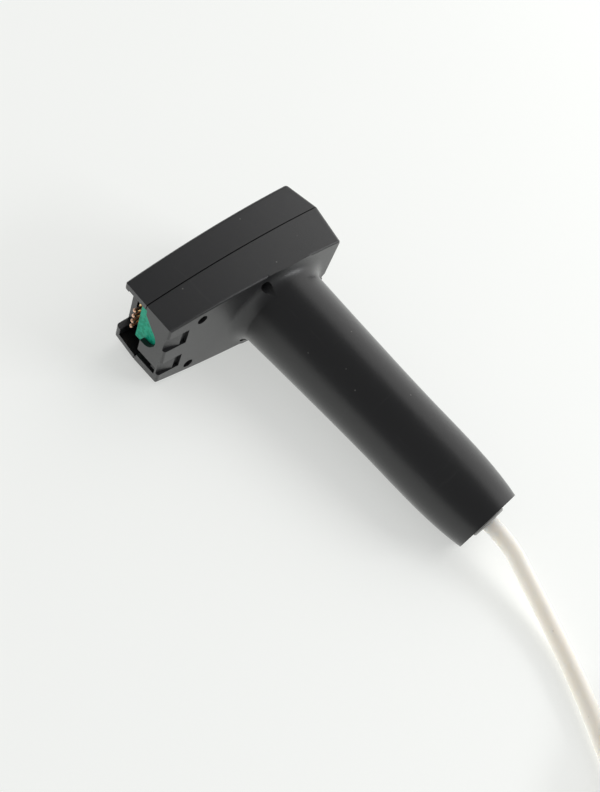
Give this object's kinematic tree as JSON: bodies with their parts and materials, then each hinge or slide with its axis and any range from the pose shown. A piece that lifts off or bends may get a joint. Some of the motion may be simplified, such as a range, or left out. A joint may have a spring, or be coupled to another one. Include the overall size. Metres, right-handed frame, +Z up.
{
  "type": "pendant control handset",
  "caption": "Hand-held control handset with a wedge-shaped two-part head, open contact socket, round tapering handle and cable.",
  "frame": {"origin": "centre of the bottom of the handset's box as it lies on its side, cable left out", "axes": "+Y from the handle's end to the top of the head, +X towards the head's closed end, +Z up"},
  "size_m": [0.1208, 0.3418, 0.0498],
  "materials": {
    "housing_plastic": "fine moulded texture, satin black",
    "screw_steel": "zinc plated",
    "green_laminate": "solder mask",
    "tinned_metal": "tinned",
    "chip_epoxy": "moulded epoxy",
    "capacitor_can": "drawn can",
    "contact_carrier": "moulded",
    "contact_brass": "bright",
    "contact_copper": "bright copper, slightly tarnished",
    "grommet_rubber": "light grey moulded rubber",
    "cable_sheath": "soft off-white PVC",
    "tie_nylon": "natural nylon",
    "connector_nylon": "natural nylon",
    "plug_metal": "nickel plated",
    "spring_steel": "spring wire",
    "core_red": "PVC",
    "core_black": "PVC",
    "core_white": "PVC",
    "core_green": "PVC"
  },
  "bodies": {
    "handset": {"board_link_pins": "tinned_metal", "board_screws": "screw_steel", "cable_coil": "cable_sheath", "cable_free": "cable_sheath", "cable_grommet": "grommet_rubber", "cable_in_handle": "cable_sheath", "cable_tail": "cable_sheath", "chip_leads": "tinned_metal", "chip_resistors": "chip_epoxy", "coil_ties": "tie_nylon", "contact_barrels": "contact_brass", "contact_block": "contact_carrier", "contact_board": "green_laminate", "contact_spring_1": "spring_steel", "contact_spring_2": "spring_steel", "contact_spring_3": "spring_steel", "contact_spring_4": "spring_steel", "contact_tails": "contact_brass", "core_wire_black": "core_black", "core_wire_green": "core_green", "core_wire_red": "core_red", "core_wire_white": "core_white", "driver_chip": "chip_epoxy", "handle_body": "housing_plastic", "head_cover": "housing_plastic", "housing_screws": "screw_steel", "main_board": "green_laminate", "plug_boot": "grommet_rubber", "plug_insulator": "contact_carrier", "plug_pins": "contact_brass", "plug_shell": "plug_metal", "pull_stop_tie": "tie_nylon", "regulator": "chip_epoxy", "storage_capacitors": "capacitor_can", "wire_plug": "connector_nylon", "wire_socket": "connector_nylon"},
    "contact_1": {"contact_pin_1": "contact_copper"},
    "contact_2": {"contact_pin_2": "contact_copper"},
    "contact_3": {"contact_pin_3": "contact_copper"},
    "contact_4": {"contact_pin_4": "contact_copper"}
  },
  "joints": [
    {"name": "contact_slide_1", "type": "slide", "parent": "handset", "child": "contact_1", "axis": [0.9986, -0.0035, 0.0522], "range_m": [0, 0.0015], "stiffness_N_per_m": 300, "springref_m": -0.001, "deforming": ["contact_spring_1"]},
    {"name": "contact_slide_2", "type": "slide", "parent": "handset", "child": "contact_2", "axis": [0.9986, -0.0035, 0.0522], "range_m": [0, 0.0015], "stiffness_N_per_m": 300, "springref_m": -0.001, "deforming": ["contact_spring_2"]},
    {"name": "contact_slide_3", "type": "slide", "parent": "handset", "child": "contact_3", "axis": [0.9986, -0.0035, 0.0522], "range_m": [0, 0.0015], "stiffness_N_per_m": 300, "springref_m": -0.001, "deforming": ["contact_spring_3"]},
    {"name": "contact_slide_4", "type": "slide", "parent": "handset", "child": "contact_4", "axis": [0.9986, -0.0035, 0.0522], "range_m": [0, 0.0015], "stiffness_N_per_m": 300, "springref_m": -0.001, "deforming": ["contact_spring_4"]}
  ]
}
